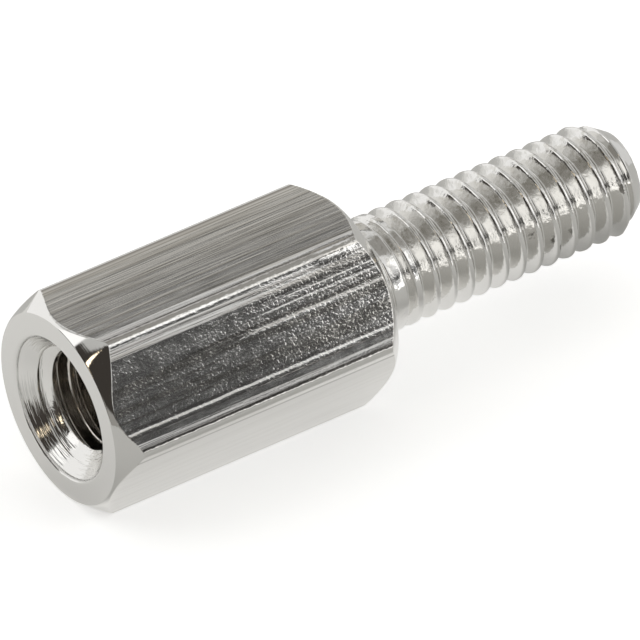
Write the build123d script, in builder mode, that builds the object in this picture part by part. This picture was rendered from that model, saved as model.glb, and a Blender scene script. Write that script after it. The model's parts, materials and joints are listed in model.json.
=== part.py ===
from build123d import *
import math
import os

# A hexagonal threaded standoff: a spacer with a tapped hole in one end and a
# threaded stud on the other, turned from one length of drawn hexagonal bar.
#
# Lengths are in millimetres and angles in degrees. The axis of the bar is X,
# with the stud towards +X. The origin is on the axis in the face of the
# shoulder that the stud stands out of. The part lies on one of its six flats,
# which faces -Z. The threads are M3 with the 0.5 mm coarse pitch: the stud is
# the plain cylinder around the crests of its thread, and the hole is the plain
# tapping hole, before the thread is cut.

# Hexagonal body
across_flats = 5.0
body_length = 8.13
bar_edge_radius = 0.18

# Turned ends: a flat ring just inside the flats, and a cone behind it that
# cuts the six corners back
ring_inset = 0.06
tapped_end_cone_angle = 50.0
shoulder_cone_angle = 48.0

# Tapped hole
tapping_radius = 1.25
countersink_radius = 1.89
countersink_angle = 90.0
drill_point_angle = 118.0
solid_web = 1.35

# Threaded stud, with a cone at its free end that leads it into a nut
stud_radius = 1.45
stud_length = 8.0
stud_cone_length = 0.62
stud_end_radius = 1.04

# Sizes that follow from the ones above
flat_distance = across_flats / 2
ring_radius = flat_distance - ring_inset
corner_radius = across_flats / math.sqrt(3)
corner_cut = corner_radius - ring_radius
tapped_cone_length = corner_cut * math.tan(math.radians(tapped_end_cone_angle))
shoulder_cone_length = corner_cut * math.tan(math.radians(shoulder_cone_angle))

tapped_end_x = -body_length
stud_cone_x = stud_length - stud_cone_length
countersink_flare = math.tan(math.radians(countersink_angle / 2))
countersink_depth = (countersink_radius - tapping_radius) / countersink_flare
drill_point_length = tapping_radius / math.tan(math.radians(drill_point_angle / 2))
drill_point_x = -solid_web
hole_floor_x = drill_point_x - drill_point_length

os.makedirs("parts", exist_ok=True)

with BuildPart() as standoff:
    # Drawn bar, with its long edges rounded as they leave the die
    with BuildSketch(Plane.YZ.offset(tapped_end_x)) as bar_section:
        RegularPolygon(radius=flat_distance, side_count=6, major_radius=False)
        fillet(bar_section.vertices(), bar_edge_radius)
    extrude(amount=body_length)

    # Both ends faced and coned in the lathe
    with BuildSketch(Plane.XZ) as turned_outline:
        with BuildLine():
            Polyline(
                (tapped_end_x, 0),
                (tapped_end_x, ring_radius),
                (tapped_end_x + tapped_cone_length, corner_radius),
                (-shoulder_cone_length, corner_radius),
                (0, ring_radius),
                (0, 0),
                close=True,
            )
        make_face()
    revolve(axis=Axis.X, mode=Mode.INTERSECT)

    # Stud
    with BuildSketch(Plane.XZ) as stud_outline:
        with BuildLine():
            Polyline(
                (0, 0),
                (0, stud_radius),
                (stud_cone_x, stud_radius),
                (stud_length, stud_end_radius),
                (stud_length, 0),
                close=True,
            )
        make_face()
    revolve(axis=Axis.X)

    # Countersunk tapping hole, ending in the cone of the drill's point
    with BuildSketch(Plane.XZ) as hole_outline:
        with BuildLine():
            Polyline(
                (tapped_end_x, 0),
                (tapped_end_x, countersink_radius),
                (tapped_end_x + countersink_depth, tapping_radius),
                (hole_floor_x, tapping_radius),
                (drill_point_x, 0),
                close=True,
            )
        make_face()
    revolve(axis=Axis.X, mode=Mode.SUBTRACT)

standoff.part.label = "standoff"
export_step(standoff.part, "parts/standoff.step")
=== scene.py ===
import json
import math

import bmesh
import bpy
import numpy as np
from mathutils import Matrix, Vector, noise


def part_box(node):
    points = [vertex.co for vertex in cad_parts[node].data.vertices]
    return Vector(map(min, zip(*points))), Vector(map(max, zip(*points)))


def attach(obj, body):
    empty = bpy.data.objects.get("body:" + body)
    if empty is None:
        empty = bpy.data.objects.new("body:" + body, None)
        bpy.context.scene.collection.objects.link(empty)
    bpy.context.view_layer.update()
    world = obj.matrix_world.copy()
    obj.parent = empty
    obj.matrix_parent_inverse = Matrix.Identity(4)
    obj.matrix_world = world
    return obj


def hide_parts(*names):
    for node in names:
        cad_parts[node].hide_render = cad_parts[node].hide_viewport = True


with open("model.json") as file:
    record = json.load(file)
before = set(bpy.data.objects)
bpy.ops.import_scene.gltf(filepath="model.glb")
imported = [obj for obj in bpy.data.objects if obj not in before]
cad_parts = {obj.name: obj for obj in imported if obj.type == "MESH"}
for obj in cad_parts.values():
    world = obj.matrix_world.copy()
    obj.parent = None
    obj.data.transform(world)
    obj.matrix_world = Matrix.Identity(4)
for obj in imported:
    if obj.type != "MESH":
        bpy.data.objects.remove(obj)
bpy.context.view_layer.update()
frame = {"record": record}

# A nickel-plated hexagonal standoff with real M3 threads, on a pale table.
# Sizes are in millimetres and angles in degrees, and the scene is in metres. As
# in the frame, X is the axis of the part, with the stud towards +X, and the
# origin is in the shoulder face. An angle around the axis starts at +Y and
# turns towards +Z.

MM = 0.001

# ---------------------------------------------------------------- sizes

low, high = (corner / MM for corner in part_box("standoff"))
mounts = {mount["name"]: mount["dims"] for mount in frame["record"]["mounts"]}

# Drawn bar: six crowned flats, with a margin along each long edge that leans further.
# The flat that faces wide_margin_flat has a wider one where it begins around the axis.
flat_distance = high.z
flat_crown = 0.8
margin_width = 0.34
wide_margin = 0.46
wide_margin_flat = 150
margin_tilt = 3.6
margin_round = 0.3
bar_edge_radius = 0.25

# Turned ends: a flat ring, and a cone behind it with a rounded border to the flats.
# The border of the tapped end's cone is sharper near the six corners.
tapped_end_x = low.x
ring_radius = flat_distance - 0.06
ring_edge_round = 0.045
tapped_cone_slope = math.tan(math.radians(50))
shoulder_cone_slope = math.tan(math.radians(48))
tapped_border_round = 0.13
tapped_border_sharpening = 0.08
shoulder_border_round = 0.04

# Angle, width in degrees, and depth of the places where the tapped end's cone is cut deeper
deeper_cuts = ((66, 15, 0.09), (134, 19, 0.22), (177, 11, 0.12))

# A burr on one long edge: its angle, width in degrees and height, and the spans of X
# in which it rises and falls
burr_angle = 121.2
burr_width = 2.6
burr_height = 0.03
burr_rise = (-1.7, -1.5)
burr_fall = (-0.75, -0.55)

# Stud
stud_length = high.x
stud_radius = mounts["stud"]["r_mm"]
stud_cone_x = mounts["stud"]["length_mm"]
stud_cone_round = 0.06
stud_end_radius = 1.04
stud_end_round = 0.04
stud_fillet = 0.05
stud_fillet_end_x = 0.06

# Tapped hole
tapping_radius = mounts["tapped_hole"]["r_mm"]
countersink_radius = 1.89
countersink_root_x = tapped_end_x + countersink_radius - tapping_radius
countersink_root_round = 0.09
hole_edge_round = 0.03
hole_floor_x = countersink_root_x + mounts["tapped_hole"]["length_mm"]
drill_point_length = tapping_radius / math.tan(math.radians(59))

# Threads. A phase is the X, give or take whole pitches, of a crest at +Y. Each thread
# fades in its run-out, and its surface has the finish of a thread in its threaded
# span. The stud wavers by about dent_share of its radius.
pitch = 0.5
thread_half_angle = 30
stud_phase = 0.092
stud_run_out = (0.3, 1.6)
stud_threaded = (0.3, stud_cone_x)
hole_phase = 0.096
hole_run_out = (hole_floor_x - 1.2, hole_floor_x - 0.4)
hole_threaded = (countersink_root_x - 0.1, hole_floor_x)
dent_share = 0.007

# How far the outlines of the bar, the stud and the hole run into the flat rings, and
# the radii of the loops in the stud's end face
bar_lip = 0.04
stud_lip = 0.08
hole_lip = 0.04
stud_end_loops = (stud_end_radius - 0.06, 0.45)

# Fineness of the mesh
flat_points = 9
margin_step = 0.14
side_rows = 48
end_support = 0.02
stud_columns = 112
hole_columns = 96
thread_step = 0.055


# ---------------------------------------------------------------- outlines

def rounded(corners, radii, arc_steps):
    """The outline through corners, with each inner corner rounded to its radius."""
    corners = [np.array(corner, float) for corner in corners]
    outline = [corners[0]]
    inner = zip(corners, corners[1:], corners[2:], radii, arc_steps)
    for before, corner, after, radius, steps in inner:
        arriving = (corner - before) / np.linalg.norm(corner - before)
        leaving = (after - corner) / np.linalg.norm(after - corner)
        side = arriving[0] * leaving[1] - arriving[1] * leaving[0]
        turn = math.atan2(side, arriving @ leaving)
        start = corner - arriving * radius * math.tan(abs(turn) / 2)
        inward = np.array([-arriving[1], arriving[0]]) * math.copysign(radius, turn)
        for angle in np.linspace(0, turn, steps + 1):
            spoke = [[math.cos(angle), -math.sin(angle)], [math.sin(angle), math.cos(angle)]]
            outline.append(start + inward - np.array(spoke) @ inward)
    outline.append(corners[-1])
    return np.array(outline)


def filled(outline, longest):
    """The outline with its long stretches divided, and a point close to each of their ends."""
    points = [outline[0]]
    for before, after in zip(outline, outline[1:]):
        length = np.linalg.norm(after - before)
        shares = np.linspace(0, 1, math.ceil(length / longest) + 1)[1:].tolist()
        if len(shares) > 1:
            shares = [end_support / length, *shares[:-1], 1 - end_support / length, 1]
        points += [before + (after - before) * share for share in shares]
    return np.array(points)


def hill(value, centre, width):
    """A smooth hill of height 1."""
    return np.exp(-((value - centre) / width) ** 2)


def smooth_step(value, start, end):
    """A smooth change from 0 to 1 as the value goes from start to end."""
    share = np.clip((value - start) / (end - start), 0, 1)
    return share * share * (3 - 2 * share)


def half_flat(margin):
    """Places across a crowned flat, from its middle to its margin, and how far out each is."""
    kink = flat_distance * math.tan(math.radians(30)) - margin
    sag = kink * math.tan(math.radians(flat_crown)) / 2
    shares = np.linspace(0, 1, flat_points)
    return np.stack([shares * kink, flat_distance - sag * shares ** 2], 1)


def bar_columns():
    """Angle and radius of the points around the drawn bar, from the flat at 30 degrees on."""
    slope = math.tan(math.radians(margin_tilt))
    lean = math.radians(60)
    turn = np.array([[math.cos(lean), math.sin(lean)], [-math.sin(lean), math.cos(lean)]])
    angles, radii = [], []
    for middle in range(30, 390, 60):
        next_margin = wide_margin if middle + 60 == wide_margin_flat else margin_width
        this_flat = half_flat(margin_width)
        next_flat = half_flat(next_margin) * (-1, 1) @ turn.T
        outward, back = np.array([1, -slope]), turn @ (-1, -slope)
        gap = next_flat[-1] - this_flat[-1]
        reach = np.linalg.solve(np.stack([outward, -back], 1), gap)[0]
        apex = this_flat[-1] + reach * outward
        corners = [*this_flat[-2:], apex, *next_flat[:-3:-1]]
        margins = rounded(corners, [margin_round, bar_edge_radius, margin_round], [2, 8, 2])
        margins = filled(margins[1:-1], margin_step)
        sixth = np.concatenate([this_flat[:-1], margins, next_flat[-2:0:-1]])
        angles.append(np.arctan2(sixth[:, 0], sixth[:, 1]) + math.radians(middle))
        radii.append(np.hypot(*sixth.T))
    return np.concatenate(angles), np.concatenate(radii)


def side_outline(angle, radius):
    """The outline of the bar along the axis at an angle, from ring to ring."""
    reach = radius - ring_radius
    near_corner = hill(reach, 0.45, 0.25)
    border_round = tapped_border_round - tapped_border_sharpening * near_corner
    degrees = math.degrees(angle)
    deeper = sum(depth * hill(degrees, middle, width) for middle, width, depth in deeper_cuts)
    corners = [
        (tapped_end_x, ring_radius - bar_lip),
        (tapped_end_x, ring_radius),
        (tapped_end_x + reach * tapped_cone_slope + deeper, radius),
        (-reach * shoulder_cone_slope, radius),
        (0, ring_radius),
        (0, ring_radius - bar_lip),
    ]
    radii = [ring_edge_round, border_round, shoulder_border_round, ring_edge_round]
    return rounded(corners, radii, [4, 4, 4, 4])


def thread_section(crest_flat, crest_round, root_round, arc_steps):
    """Places in the pitch and depths of one thread, from the middle of its crest to the next."""
    apex = (pitch - crest_flat) / 2 / math.tan(math.radians(thread_half_angle))
    corners = [
        (0, 0),
        (crest_flat / 2, 0),
        (pitch / 2, -apex),
        (pitch - crest_flat / 2, 0),
        (pitch, 0),
    ]
    section = rounded(corners, [crest_round, root_round, crest_round], arc_steps)
    points = []
    for before, after in zip(section, section[1:]):
        pieces = max(1, round(np.linalg.norm(after - before) / thread_step))
        points += [before + (after - before) * k / pieces for k in range(pieces)]
    places, heights = np.array(points).T
    return places, -heights


# ---------------------------------------------------------------- mesh

# The finishes, by the slot of their material
DRAWN, TURNED, THREADED = 0, 1, 2


class Solid:
    """Points and faces of one closed surface, gathered loop by loop."""

    def __init__(self):
        self.points = []
        self.faces = []
        self.finishes = []

    def loop(self, x, radius, angles):
        """A closed loop of points around the axis."""
        x, radius, angles = np.broadcast_arrays(x, radius, angles)
        first = len(self.points)
        places = np.stack([x, radius * np.cos(angles), radius * np.sin(angles)], 1)
        self.points += places.tolist()
        return list(range(first, len(self.points)))

    def face(self, corners, finish):
        """A face, left out where its corners have run together."""
        kept = [c for c, after in zip(corners, corners[1:] + corners[:1]) if c != after]
        if len(kept) > 2:
            self.faces.append(kept)
            self.finishes.append(finish)

    def skin(self, loops, finish):
        """Quads between loops of equal length, one after the other."""
        for loop, following in zip(loops, loops[1:]):
            for i in range(len(loop)):
                j = (i + 1) % len(loop)
                self.face([loop[i], loop[j], following[j], following[i]], finish)

    def annulus(self, outer, inner, finish):
        """Triangles between two flat loops whose points don't match."""
        def by_angle(loop):
            places = [(math.atan2(self.points[p][2], self.points[p][1]), p) for p in loop]
            return sorted(places)
        rim, hole = by_angle(outer), by_angle(inner)
        rim.append((rim[0][0] + math.tau, rim[0][1]))
        hole.append((hole[0][0] + math.tau, hole[0][1]))
        i = j = 0
        while i < len(rim) - 1 or j < len(hole) - 1:
            step_rim = j == len(hole) - 1 or (i < len(rim) - 1 and rim[i + 1][0] <= hole[j + 1][0])
            if step_rim:
                self.face([rim[i][1], rim[i + 1][1], hole[j][1]], finish)
                i += 1
            else:
                self.face([rim[i][1], hole[j + 1][1], hole[j][1]], finish)
                j += 1

    def cap(self, loop, x, finish):
        """A fan from the loop to a point on the axis."""
        tip = len(self.points)
        self.points.append([x, 0, 0])
        for i, corner in enumerate(loop):
            self.face([corner, loop[(i + 1) % len(loop)], tip], finish)


def add_body(solid):
    """The hexagonal bar between its turned ends. Returns the inner loops of both rings."""
    angles, radii = bar_columns()
    outlines = np.array([side_outline(angle, radius) for angle, radius in zip(angles, radii)])
    end_rows = outlines.shape[1] // 2

    def rows_of_outline(first, last):
        return [solid.loop(outlines[:, i, 0], outlines[:, i, 1], angles) for i in range(first, last)]

    # Between the cones, the rows are evenly spaced, with one more close to each cone
    rows = rows_of_outline(0, end_rows)
    side_start, side_end = outlines[:, end_rows - 1], outlines[:, end_rows]
    for share in (0.003, *np.linspace(0, 1, side_rows + 1)[1:-1], 0.997):
        place = side_start + share * (side_end - side_start)
        burr = smooth_step(place[:, 0], *burr_rise) - smooth_step(place[:, 0], *burr_fall)
        place[:, 1] += burr_height * burr * hill(np.degrees(angles), burr_angle, burr_width)
        rows.append(solid.loop(place[:, 0], place[:, 1], angles))
    rows += rows_of_outline(end_rows, 2 * end_rows)

    # The finish changes in the rounded border of each cone, this many rows from the ring
    turned_rows = 7
    solid.skin(rows[:turned_rows + 1], TURNED)
    solid.skin(rows[turned_rows:-turned_rows], DRAWN)
    solid.skin(rows[-turned_rows - 1:], TURNED)
    return rows[0], rows[-1]


def dents(points):
    """How much further out or in each point is, as a share of its radius. Only the stud has
    dents, and it has none at its ends."""
    inside = (points[:, 0] > 0.1) & (points[:, 0] < stud_length - 0.1)
    waver = [noise.noise(Vector(p) * 2.6) + 0.6 * noise.noise(Vector(p) * 6) for p in points]
    return dent_share * np.array(waver) * inside


def helical_wall(solid, span, columns, offsets, radius_at, phase, threaded):
    """A wall around the axis whose rows follow a right-handed helix. offsets are the rows'
    places in one pitch, radius_at gives the radius from the place along the axis and the
    place in the pitch, and threaded is the span with the thread's finish. Returns the loops
    at both ends of the span."""
    start, end = span
    turns = math.ceil((end - start) / pitch) + 2
    rows = len(offsets)
    origin = start - pitch * (1 + (start - phase) / pitch % 1)
    along = (np.arange(turns)[:, None] * pitch + np.array(offsets)).ravel() + origin
    place = np.tile(offsets, turns)
    columns_of_points = []
    for column in range(columns):
        turned = column / columns
        x = np.clip(along + pitch * turned, start, end)
        radius = radius_at(x, place)
        first = np.searchsorted(along + pitch * turned, start, side="right") - 1
        last = np.searchsorted(along + pitch * turned, end, side="left")
        kept = slice(first, last + 1)
        base = len(solid.points)
        angle = math.tau * turned
        ring = np.stack([x, radius * math.cos(angle), radius * math.sin(angle)], 1)[kept]
        ring[:, 1:] *= 1 + dents(ring)[:, None]
        solid.points += ring.tolist()
        index = base + np.clip(np.arange(len(x)), first, last) - first
        columns_of_points.append(index.tolist())
    for column in range(columns):
        here = columns_of_points[column]
        there = columns_of_points[(column + 1) % columns]
        # The last column meets the first one a whole pitch further along
        shift = rows if column == columns - 1 else 0
        for i in range(-shift, len(here) - 1):
            near, far = here[max(i, 0)], here[max(i + 1, 0)]
            near_there = there[min(i + shift, len(there) - 1)]
            far_there = there[min(i + 1 + shift, len(there) - 1)]
            finish = THREADED if threaded[0] < solid.points[far][0] < threaded[1] else TURNED
            solid.face([near, far, far_there, near_there], finish)
    return [c[0] for c in columns_of_points], [c[-1] for c in columns_of_points]


def add_stud(solid):
    """The threaded stud. Returns its loop in the shoulder face."""
    offsets, depths = thread_section(
        crest_flat=0.09, crest_round=0.07, root_round=0.035, arc_steps=[5, 4, 5])
    corners = [
        (0, stud_radius + stud_fillet),
        (0, stud_radius),
        (stud_cone_x, stud_radius),
        (stud_length, stud_end_radius),
        (stud_length, 0),
    ]
    outline = rounded(corners, [stud_fillet, stud_cone_round, stud_end_round], [4, 5, 5])
    outline_x, outline_r = outline[1:-1].T

    def radius_at(x, place):
        cut = np.interp(place, offsets, depths, period=pitch)
        cut = np.maximum(cut - depths.max() * (1 - smooth_step(x, *stud_run_out)), 0)
        thread = np.where(x < stud_fillet_end_x, math.inf, stud_radius - cut)
        return np.minimum(np.interp(x, outline_x, outline_r), thread)

    root, end = helical_wall(
        solid, (0, stud_length), stud_columns, offsets, radius_at, stud_phase, stud_threaded)
    angles = np.linspace(0, math.tau, stud_columns, endpoint=False)
    end_face = [solid.loop(stud_length, radius, angles) for radius in stud_end_loops]
    solid.skin([end, *end_face], TURNED)
    solid.cap(end_face[-1], stud_length, TURNED)
    seat = solid.loop(0, stud_radius + stud_lip, angles)
    solid.skin([root, seat], TURNED)
    return seat


def add_hole(solid):
    """The countersunk and tapped hole. Returns its loop in the tapped end's face."""
    offsets, depths = thread_section(
        crest_flat=pitch / 4, crest_round=0.03, root_round=0.036, arc_steps=[2, 4, 2])
    corners = [
        (tapped_end_x, countersink_radius + hole_edge_round),
        (tapped_end_x, countersink_radius),
        (countersink_root_x, tapping_radius),
        (hole_floor_x, tapping_radius),
    ]
    outline = rounded(corners, [hole_edge_round, countersink_root_round], [4, 4])
    outline_x, outline_r = outline[1:].T

    def radius_at(x, place):
        cut = np.interp(place, offsets, depths, period=pitch)
        cut = np.maximum(cut - depths.max() * smooth_step(x, *hole_run_out), 0)
        return np.maximum(np.interp(x, outline_x, outline_r), tapping_radius + cut)

    entry, floor = helical_wall(
        solid, (tapped_end_x, hole_floor_x), hole_columns, offsets, radius_at, hole_phase, hole_threaded)
    angles = np.linspace(0, math.tau, hole_columns, endpoint=False)
    cone = [floor]
    for share in (0.25, 0.5, 0.75):
        x = hole_floor_x + share * drill_point_length
        cone.append(solid.loop(x, (1 - share) * tapping_radius, angles))
    solid.skin(cone, TURNED)
    solid.cap(cone[-1], hole_floor_x + drill_point_length, TURNED)
    lip = solid.loop(tapped_end_x, countersink_radius + hole_lip, angles)
    solid.skin([entry, lip], TURNED)
    return lip


def make_standoff():
    """The whole part as one closed mesh, in metres."""
    solid = Solid()
    front_ring, shoulder_ring = add_body(solid)
    stud_root = add_stud(solid)
    hole_mouth = add_hole(solid)
    solid.annulus(shoulder_ring, stud_root, TURNED)
    solid.annulus(front_ring, hole_mouth, TURNED)
    mesh = bpy.data.meshes.new("standoff_plated")
    mesh.from_pydata((np.array(solid.points) * MM).tolist(), [], solid.faces)
    mesh.polygons.foreach_set("material_index", solid.finishes)
    mesh.polygons.foreach_set("use_smooth", [True] * len(solid.faces))
    shape = bmesh.new()
    shape.from_mesh(mesh)
    loose = [v for v in shape.verts if not v.link_faces]
    bmesh.ops.delete(shape, geom=loose, context="VERTS")
    bmesh.ops.recalc_face_normals(shape, faces=shape.faces)
    shape.to_mesh(mesh)
    shape.free()
    piece = bpy.data.objects.new("standoff_plated", mesh)
    bpy.context.scene.collection.objects.link(piece)
    return piece


# ---------------------------------------------------------------- shader nodes

class Graph:
    """Short names for the shader nodes of one material or world."""

    def __init__(self, owner):
        owner.use_nodes = True
        self.tree = owner.node_tree

    def node(self, kind, **settings):
        node = self.tree.nodes.new("ShaderNode" + kind)
        for name, value in settings.items():
            setattr(node, name, value)
        return node

    def feed(self, socket, value):
        """Links the output of another node to the socket, or sets the socket to a value."""
        if isinstance(value, bpy.types.NodeSocket):
            self.tree.links.new(value, socket)
        else:
            socket.default_value = value

    def fed(self, node, sockets, values, output=0):
        """The output of the node, once its sockets are fed with the values."""
        for socket, value in zip(sockets, values):
            self.feed(node.inputs[socket], value)
        return node.outputs[output]

    def math(self, operation, *values):
        return self.fed(self.node("Math", operation=operation), range(len(values)), values)

    def product(self, *values):
        result = values[0]
        for value in values[1:]:
            result = self.math("MULTIPLY", result, value)
        return result

    def total(self, *values):
        result = values[0]
        for value in values[1:]:
            result = self.math("ADD", result, value)
        return result

    def length(self, *parts):
        """The length of a line, from its parts at right angles."""
        return self.math("SQRT", self.total(*(self.product(part, part) for part in parts)))

    def distance(self, value, other):
        return self.math("ABSOLUTE", self.math("SUBTRACT", value, other))

    def ramp(self, value, start, end, first=0.0, last=1.0):
        """A smooth change from first to last as the value goes from start to end."""
        node = self.node("MapRange", interpolation_type="SMOOTHSTEP")
        return self.fed(node, range(5), (value, start, end, first, last))

    def mix(self, share, first, second):
        return self.fed(self.node("Mix", data_type="FLOAT"), (0, 2, 3), (share, first, second))

    def mix_colours(self, share, first, second):
        return self.fed(self.node("Mix", data_type="RGBA"), (0, 6, 7), (share, first, second), 2)

    def split(self, vector):
        node = self.node("SeparateXYZ")
        self.feed(node.inputs[0], vector)
        return node.outputs[:3]

    def join(self, *parts):
        return self.fed(self.node("CombineXYZ"), range(3), parts)

    def scaled(self, vector, *factors):
        return self.fed(self.node("VectorMath", operation="MULTIPLY"), (0, 1), (vector, factors))

    def noise(self, vector, scale, detail):
        """Noise around 0.5, finer with a greater scale."""
        return self.fed(self.node("TexNoise"), ("Vector", "Scale", "Detail"), (vector, scale, detail))

    def bump(self, height, depth, normal=None):
        """Relief whose height from 0 to 1 stands for a depth in millimetres."""
        node = self.node("Bump")
        if normal:
            self.feed(node.inputs["Normal"], normal)
        return self.fed(node, ("Strength", "Distance", "Height"), (1.0, depth * MM, height))


# ---------------------------------------------------------------- materials

NICKEL = (0.775, 0.765, 0.74, 1)
DULL_NICKEL = (0.56, 0.54, 0.50, 1)
# Painted mottled reflection on the threads' upper side
MOTTLED_REFLECTION_NICKEL = (0.55, 0.53, 0.48, 1)
# Painted shade inside the tapped hole
SHADED_HOLE_NICKEL = (0.7, 0.66, 0.61, 1)
# Painted shade: the colour of the dark lines along the edges, on the top flat and beside the steps
SHADE_LINE_COLOUR = (0.3, 0.28, 0.26, 1)
# The nicks' dark look, painted as their dark reflection
NICK_REFLECTION_COLOUR = (0.2, 0.19, 0.17, 1)

# The angles that three of the flats face. The flat opposite the pitted one is
# pitted too, and the one opposite the smooth one is smooth.
TOP_FLAT = 90
PITTED_FLAT = 150
SMOOTH_FLAT = 210

# Painted shade lines run along both long edges of each flat: their distance from the middle
# of the flat, and their width, before the middle and after it as the angle goes around.
SHADE_LINE_DISTANCES = (1.16, 1.28)
SHADE_LINE_WIDTHS = (0.04, 0.1)

# Marks that run along the pitted flats to the shoulder: place across the flat, width,
# and X where the mark starts, which is -9 for the whole bar. A step shows as a bright
# line, and a painted shade line beside it as a dark one.
STEPS = ((-0.31, 0.13, -4.0), (0.83, 0.09, -9))
FINE_STEPS = ((-0.62, 0.06, -3.4), (-0.8, 0.05, -2.6))
# Painted shade: dark lines beside the steps
STEP_SHADE_LINES = (
    (-0.43, 0.07, -5.6),
    (-0.9, 0.06, -3.8),
    (-0.68, 0.04, -3.2),
    (0.745, 0.07, -9),
    (0.93, 0.06, -9),
)

# Small nicks in the stud's thread, painted dark as their dark reflection: X and angle
NICKS = ((4.5, 173), (4.93, 194), (5.41, 192), (7.28, 157), (2.1, 186))


def nickel(name):
    """A plated material with its graph, shader, and place on the part in millimetres."""
    material = bpy.data.materials.new(name)
    graph = Graph(material)
    shader = graph.tree.nodes["Principled BSDF"]
    shader.inputs["Base Color"].default_value = NICKEL
    shader.inputs["Metallic"].default_value = 1
    place = graph.scaled(graph.node("TexCoord").outputs["Object"], 1 / MM, 1 / MM, 1 / MM)
    return material, graph, shader, place


def facing(g, place, angle):
    """Distance from the axis along the direction at the angle, and distance across it."""
    y, z = g.split(place)[1:]
    way = math.radians(angle)
    out = g.total(g.product(y, math.cos(way)), g.product(z, math.sin(way)))
    across = g.total(g.product(y, -math.sin(way)), g.product(z, math.cos(way)))
    return out, across


def on_flat(g, place, angle):
    """1 on the flat that faces the angle, fading just over its long edges."""
    return g.ramp(facing(g, place, angle)[0], flat_distance - 0.25, flat_distance - 0.08)


def on_pair(g, place, angle):
    """1 on the flat that faces the angle and on the opposite one."""
    return g.total(on_flat(g, place, angle), on_flat(g, place, angle + 180))


def around_flats(g, place):
    """Distance from the middle of the nearest flat, and whether the place is after the
    middle as the angle goes around."""
    y, z = g.split(place)[1:]
    angle = g.math("DEGREES", g.math("ARCTAN2", z, y))
    folded = g.math("RADIANS", g.math("WRAP", g.math("SUBTRACT", angle, 30.0), -30.0, 30.0))
    from_middle = g.math("ABSOLUTE", g.product(g.length(y, z), g.math("SINE", folded)))
    return from_middle, g.math("GREATER_THAN", folded, 0.0)


def die_lines(g, place):
    """The lines that the die has left along the bar."""
    return g.noise(g.scaled(place, 0.03, 1, 1), 9, 2)


def blotches(g, place):
    """Patches of the skin that are a little rougher."""
    return g.ramp(g.noise(g.scaled(place, 0.6, 1, 1), 4.5, 2), 0.35, 0.65)


def to_shoulder(g, place):
    """0 to 1 along the bar, as its skin gets coarser from the tapped end to the shoulder."""
    return g.ramp(g.split(place)[0], -6.5, -1)


def marks_along(g, place, marks):
    """For each of the marks, the distance from its line, its width, and 1 where it runs."""
    x = g.split(place)[0]
    pitted = on_pair(g, place, PITTED_FLAT)
    wander = g.math("SUBTRACT", g.noise(g.scaled(place, 0.5, 0, 0), 2, 1), 0.5)
    across = g.math("ADD", facing(g, place, PITTED_FLAT)[1], g.product(wander, 0.05))
    for middle, width, start in marks:
        stretch = g.product(g.ramp(x, start - 0.5, start + 0.5), pitted)
        yield g.math("SUBTRACT", across, middle), width, stretch


def steps(g, place, marks):
    """The height of the steps in the pitted flats."""
    heights = []
    for offset, width, stretch in marks_along(g, place, marks):
        heights.append(g.product(g.ramp(offset, -width / 2, width / 2), stretch))
    return g.total(*heights)


def step_shade_lines(g, place):
    """How dark the painted shade lines beside the steps of the pitted flats are."""
    shares = []
    for offset, width, stretch in marks_along(g, place, STEP_SHADE_LINES):
        shares.append(g.product(g.ramp(g.math("ABSOLUTE", offset), 0, width, 1, 0), stretch))
    return g.product(g.total(*shares), 0.7)


def edge_shade_lines(g, place):
    """How dark the painted shade lines along the long edges are."""
    from_middle, after = around_flats(g, place)
    pitted = on_pair(g, place, PITTED_FLAT)
    from_line = g.distance(from_middle, g.mix(after, *SHADE_LINE_DISTANCES))
    line = g.ramp(from_line, 0, g.mix(after, *SHADE_LINE_WIDTHS), 1, 0)
    return g.product(line, g.mix(after, 0.6, g.mix(pitted, 0.2, 0.9)))


def top_shade_line(g, place):
    """How dark the painted shade line along the top flat is, on the side towards +Y."""
    from_line = g.distance(facing(g, place, TOP_FLAT)[1], -1.3)
    return g.product(g.ramp(from_line, 0, 0.1, 1, 0), on_flat(g, place, TOP_FLAT), 0.8)


def drawn_colour(g, place):
    """Nickel with dull streaks, fainter on the smooth flats, and with painted shade lines along the
    edges, on the top flat and beside the steps.
    """
    bands = g.noise(g.scaled(place, 0.02, 1, 1), 3.2, 2)
    streaks = g.total(g.product(die_lines(g, place), 0.6), g.product(bands, 0.4))
    strength = g.mix(on_pair(g, place, SMOOTH_FLAT), 0.85, 0.12)
    colour = g.mix_colours(g.product(g.ramp(streaks, 0.45, 0.63), strength), NICKEL, DULL_NICKEL)
    # Painted shade: dark lines along the long edges, on the top flat and beside the steps
    for share in (edge_shade_lines(g, place), top_shade_line(g, place), step_shade_lines(g, place)):
        colour = g.mix_colours(share, colour, SHADE_LINE_COLOUR)
    return colour


def drawn_roughness(g, place):
    """The pitted flats are rougher in patches and towards the shoulder."""
    fine = g.ramp(g.noise(place, 1.3, 2), 0.3, 0.7, 0.09, 0.12)
    coarse = g.total(g.mix(to_shoulder(g, place), 0.085, 0.11), g.product(blotches(g, place), 0.03))
    return g.mix(on_pair(g, place, PITTED_FLAT), fine, coarse)


def line_strength(g, place):
    """How strong the die's lines are: weak on the smooth flats and in the middle of the pitted
    ones, and strong on the margins of those and on their upper side towards the shoulder."""
    upper = g.ramp(facing(g, place, PITTED_FLAT)[1], -0.3, -0.5)
    between = g.mix(g.product(upper, to_shoulder(g, place)), 0.35, 1.0)
    on_margin = g.ramp(around_flats(g, place)[0], 0.9, 0.97)
    on_pitted = g.mix(on_pair(g, place, PITTED_FLAT), 1.0, g.mix(on_margin, between, 1.3))
    return g.product(g.mix(on_pair(g, place, SMOOTH_FLAT), 1.0, 0.25), on_pitted)


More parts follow.
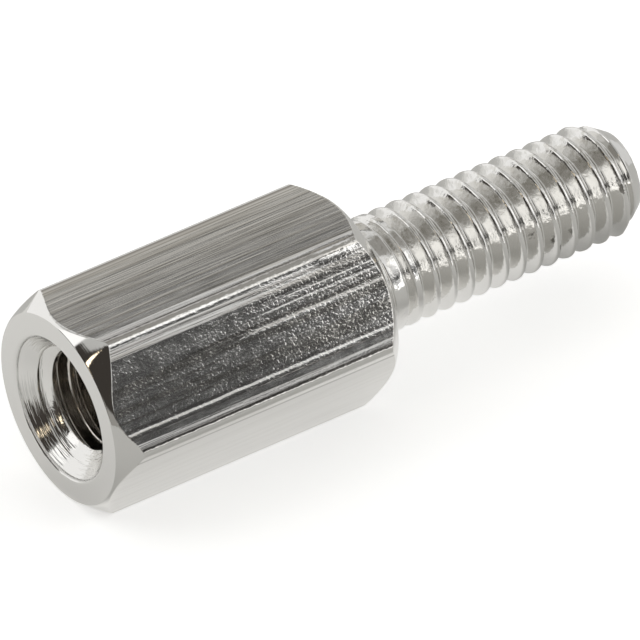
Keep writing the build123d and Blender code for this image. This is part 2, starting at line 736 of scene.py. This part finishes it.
def pits(g, place):
    """The pits of the pitted flats. Their lower margin has few, and so has their upper one
    near the tapped end. The other flats have next to none."""
    across = facing(g, place, PITTED_FLAT)[1]
    near_tapped_end = g.ramp(g.split(place)[0], -4.4, -2.8, 1, 0)
    upper_margin = g.product(g.ramp(across, -1.0, -0.94, 1, 0), near_tapped_end)
    lower_margin = g.product(g.ramp(across, 0.9, 0.96), 0.8)
    clean = g.total(upper_margin, lower_margin)
    coarseness = g.mix(to_shoulder(g, place), 0.5, 0.95)
    depth = g.mix(on_pair(g, place, PITTED_FLAT), 0.03, coarseness)
    dots = g.product(g.ramp(g.noise(g.scaled(place, 0.8, 1, 1), 17, 1), 0.4, 0.8), depth)
    return g.product(dots, g.mix(blotches(g, place), 0.7, 1.0), g.mix(clean, 1.0, 0.1))


def drawn_relief(g, place):
    """The die's lines and hairlines, and on the pitted flats chatter across them, pits, beads
    on the long edges, and steps. Each is given by its height and its depth in millimetres."""
    strength = line_strength(g, place)
    pitted = on_pair(g, place, PITTED_FLAT)
    hairlines = g.noise(g.scaled(place, 0.02, 1, 1), 26, 2)
    chatter = g.noise(g.scaled(place, 1, 0.25, 0.25), 14, 1)
    beads = g.noise(g.scaled(place, 0.7, 1, 1), 10, 1)
    on_edges = g.ramp(around_flats(g, place)[0], 1.24, 1.34)
    reliefs = (
        (g.product(hairlines, strength), 0.0013),
        (g.product(die_lines(g, place), strength), 0.003),
        (g.product(chatter, pitted, to_shoulder(g, place)), 0.0012),
        (pits(g, place), 0.0021),
        (g.product(beads, on_edges, pitted), 0.007),
        (steps(g, place, STEPS), 0.0065),
        (steps(g, place, FINE_STEPS), 0.0025),
    )
    normal = None
    for height, depth in reliefs:
        normal = g.bump(height, depth, normal)
    return normal


def drawn_nickel():
    """The six flats, with the lines of the die along them and the skin of the bar between."""
    material, g, shader, place = nickel("nickel_drawn")
    g.feed(shader.inputs["Base Color"], drawn_colour(g, place))
    g.feed(shader.inputs["Roughness"], drawn_roughness(g, place))
    g.feed(shader.inputs["Normal"], drawn_relief(g, place))
    return material


def turned_nickel():
    """The cones and rings that the lathe cut. Its marks are deeper in the countersink."""
    material, g, shader, place = nickel("nickel_turned")
    x, y, z = g.split(place)
    radius = g.length(y, z)
    in_mouth = g.ramp(radius, countersink_radius - 0.08, countersink_radius - 0.02, 1, 0)
    in_countersink = g.product(in_mouth, g.ramp(x, -7, -7.2))
    feed = g.total(radius, g.product(x, g.mix(in_countersink, 0.6, -0.6)))
    rings = g.noise(g.join(feed, g.product(y, 0.05), g.product(z, 0.05)), 16, 2)
    depth = g.product(rings, g.mix(in_countersink, 0.05, 1.0))
    g.feed(shader.inputs["Roughness"], g.ramp(g.noise(place, 1.8, 2), 0.3, 0.7, 0.04, 0.08))
    g.feed(shader.inputs["Normal"], g.bump(depth, 0.02))
    return material


def nicked(g, place, colour):
    """The colour with the nicks in it, painted dark as their dark reflection. They are longer around the
    axis than along it.
    """
    squeeze = 0.4
    crest = squeeze * 1.38
    ragged = g.product(g.math("SUBTRACT", g.noise(place, 14, 1), 0.5), 0.12)
    squeezed = g.scaled(place, 1, squeeze, squeeze)
    # Each nick is a real mark, painted dark as its dark reflection
    for along, angle in NICKS:
        way = math.radians(angle)
        middle = (along, crest * math.cos(way), crest * math.sin(way))
        node = g.node("VectorMath", operation="DISTANCE")
        gap = g.fed(node, (0, 1), (squeezed, middle), "Value")
        share = g.ramp(g.total(gap, ragged), 0.04, 0.075, 0.85, 0)
        colour = g.mix_colours(share, colour, NICK_REFLECTION_COLOUR)
    return colour


def threaded_nickel():
    """Both threads: a painted mottled reflection on their upper side, painted shade in the hole, and
    nicks on the stud painted dark as their reflection.
    """
    material, g, shader, place = nickel("nickel_thread")
    x = g.split(place)[0]
    in_hole = g.product(g.ramp(x, -7.6, -6.9), g.ramp(x, -0.5, -0.4, 1, 0))
    # Painted reflection: a dark mottle on the threads' upper side only
    mottle = g.ramp(g.noise(g.scaled(place, 1, 0.7, 0.7), 9, 2), 0.48, 0.66)
    upper = g.ramp(facing(g, place, 104)[0], 1.0, 1.35)
    # Painted shade: the threads inside the tapped hole are darker and browner
    colour = g.mix_colours(in_hole, NICKEL, SHADED_HOLE_NICKEL)
    colour = g.mix_colours(g.product(mottle, upper, 0.55), colour, MOTTLED_REFLECTION_NICKEL)
    uneven = g.bump(g.noise(place, 5, 2), 0.008)
    g.feed(shader.inputs["Base Color"], nicked(g, place, colour))
    g.feed(shader.inputs["Roughness"], g.ramp(g.noise(place, 3.0, 3), 0.3, 0.7, 0.1, 0.16))
    g.feed(shader.inputs["Normal"], g.bump(g.noise(place, 13, 2), 0.0035, uneven))
    return material


piece = make_standoff()
for material in (drawn_nickel(), turned_nickel(), threaded_nickel()):
    piece.data.materials.append(material)
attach(piece, "root")
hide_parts("standoff")


# ---------------------------------------------------------------- stage

WHITE = (1, 1, 1, 1)
ROOM = (0.57, 0.57, 0.56, 1)
TABLE = (0.8, 0.8, 0.79, 1)
TABLE_IN_METAL = (0.68, 0.68, 0.67, 1)

PLAIN = (1, 1, 1)
WARM = (1, 0.975, 0.92)
CREAM = (1, 0.86, 0.64)
BROWN = (1, 0.88, 0.78)

# The softly lit patches of the room's walls, each over the ones before it: the azimuth
# from +X of its middle, its half width, its lowest and highest elevation, the width of
# its soft edge, how bright it is, where 1 is white, and its tint.
WALLS = (
    (15, 60, -9, 20, 8, 0.76, PLAIN),
    (108, 48, -9, 46, 10, 1.05, PLAIN),
    (45, 40, 38, 56, 4, 0.8, PLAIN),
    (-15, 50, 54, 84, 4, 0.34, WARM),
    (-78, 34, 30, 62, 8, 0.88, PLAIN),
    (-118, 43, -9, 18, 6, 0.45, WARM),
    (-144, 52, 14, 50, 3, 0.05, BROWN),
    (180, 40, -9, 22, 3, 0.06, BROWN),
    (-125, 14, -9, 26, 6, 0.34, WARM),
    (148, 15, 26, 60, 3, 1.3, PLAIN),
    (-61, 10, -9, 22, 3, 1.95, PLAIN),
    (-43, 16, 20, 46, 3, 1.45, PLAIN),
    (-74, 15.5, 22, 32, 3, 0.74, PLAIN),
    (-74, 15.5, 5, 22, 3, 0.62, PLAIN),
    (-74, 15.5, 11, 22.8, 2, 0.07, PLAIN),
    (57, 12, 16, 39.5, 2, 0.13, PLAIN),
    (57, 12, 16, 35.0, 4, 0.6, WARM),
    (-157, 5, 41.5, 46.5, 1, 2.2, CREAM),
    (-172, 6, 23, 30, 1, 2.2, CREAM),
)


def place_camera():
    """A long lens from the tapped end, above and to one side, so that the view is all but parallel."""
    azimuth, elevation, roll = (math.radians(a) for a in (-32.745, 35.404, -2.666))
    target = Vector((-0.675, -0.061, -0.586)) * MM
    view_width = 15.267 * MM
    data = bpy.data.cameras.new("camera")
    data.sensor_width = 36
    data.lens = 1500
    data.clip_start = 0.01
    data.clip_end = 10
    camera = bpy.data.objects.new("camera", data)
    back = Vector((math.sin(azimuth) * math.cos(elevation),
                   -math.cos(azimuth) * math.cos(elevation), math.sin(elevation)))
    turned = (-back).to_track_quat("-Z", "Y").to_matrix() @ Matrix.Rotation(roll, 3, "Z")
    distance = view_width * data.lens / data.sensor_width
    camera.matrix_world = Matrix.Translation(target + back * distance) @ turned.to_4x4()
    bpy.context.scene.collection.objects.link(camera)
    bpy.context.scene.camera = camera


def make_world():
    """A white room to the camera. The metal sees its walls, and matt surfaces get a little
    more light from them."""
    world = bpy.data.worlds.new("studio")
    bpy.context.scene.world = world
    g = Graph(world)
    x, y, z = g.split(g.node("TexCoord").outputs["Generated"])
    azimuth = g.math("DEGREES", g.math("ARCTAN2", y, x))
    elevation = g.math("DEGREES", g.math("ARCSINE", z))
    light = ROOM
    for middle, half_width, lowest, highest, edge, brightness, tint in WALLS:
        offset = g.math("ABSOLUTE", g.math("WRAP", g.math("SUBTRACT", azimuth, middle), -180, 180))
        across = g.ramp(offset, half_width - edge / 2, half_width + edge / 2, 1, 0)
        above = g.ramp(elevation, lowest - edge / 2, lowest + edge / 2)
        below = g.ramp(elevation, highest - edge / 2, highest + edge / 2, 1, 0)
        colour = (*(brightness * part for part in tint), 1)
        light = g.mix_colours(g.product(across, above, below), light, colour)
    path = g.node("LightPath")
    background = g.tree.nodes["Background"]
    g.feed(background.inputs["Strength"], g.mix(path.outputs["Is Diffuse Ray"], 1.0, 1.4))
    g.feed(background.inputs["Color"], g.mix_colours(path.outputs["Is Camera Ray"], light, WHITE))


def table_glow(g):
    """The light that the table adds. The camera gets enough of it for a white table. The metal
    gets it close to the part, beside and under it, less and less away from the axis and
    along the stud. Past the tapped end it gets it from just before the axis towards +Y."""
    x, y = g.split(g.node("TexCoord").outputs["Object"])[:2]
    beyond = g.math("MAXIMUM", g.product(g.math("SUBTRACT", x, 1 * MM), 0.8), 0.0)
    beside = g.ramp(g.length(beyond, y), 1.5 * MM, 4.5 * MM, 0.47, 0.0)
    past_end = g.ramp(y, -2.2 * MM, -0.8 * MM, 0.0, 0.24)
    for_metal = g.mix(g.ramp(x, -8.3 * MM, -8.0 * MM), past_end, beside)
    path = g.node("LightPath")
    for_camera = g.product(path.outputs["Is Camera Ray"], 0.5)
    return g.total(for_camera, g.product(path.outputs["Is Glossy Ray"], for_metal))


def add_table():
    """A pale table under the lowest flat, white to the camera, where the part's soft shadow shows."""
    mesh = bpy.data.meshes.new("floor")
    reach, level = 400 * MM, low.z * MM
    sides = ((-reach, -reach), (reach, -reach), (reach, reach), (-reach, reach))
    mesh.from_pydata([(x, y, level) for x, y in sides], [], [(0, 1, 2, 3)])
    floor = bpy.data.objects.new("floor", mesh)
    bpy.context.scene.collection.objects.link(floor)
    material = bpy.data.materials.new("pale_table")
    g = Graph(material)
    shader = g.tree.nodes["Principled BSDF"]
    shader.inputs["Roughness"].default_value = 0.9
    shader.inputs["Specular IOR Level"].default_value = 0
    shader.inputs["Emission Color"].default_value = WHITE
    to_metal = g.node("LightPath").outputs["Is Glossy Ray"]
    g.feed(shader.inputs["Base Color"], g.mix_colours(to_metal, TABLE, TABLE_IN_METAL))
    g.feed(shader.inputs["Emission Strength"], table_glow(g))
    mesh.materials.append(material)


place_camera()
make_world()
add_table()
bpy.context.scene.view_settings.view_transform = "Standard"
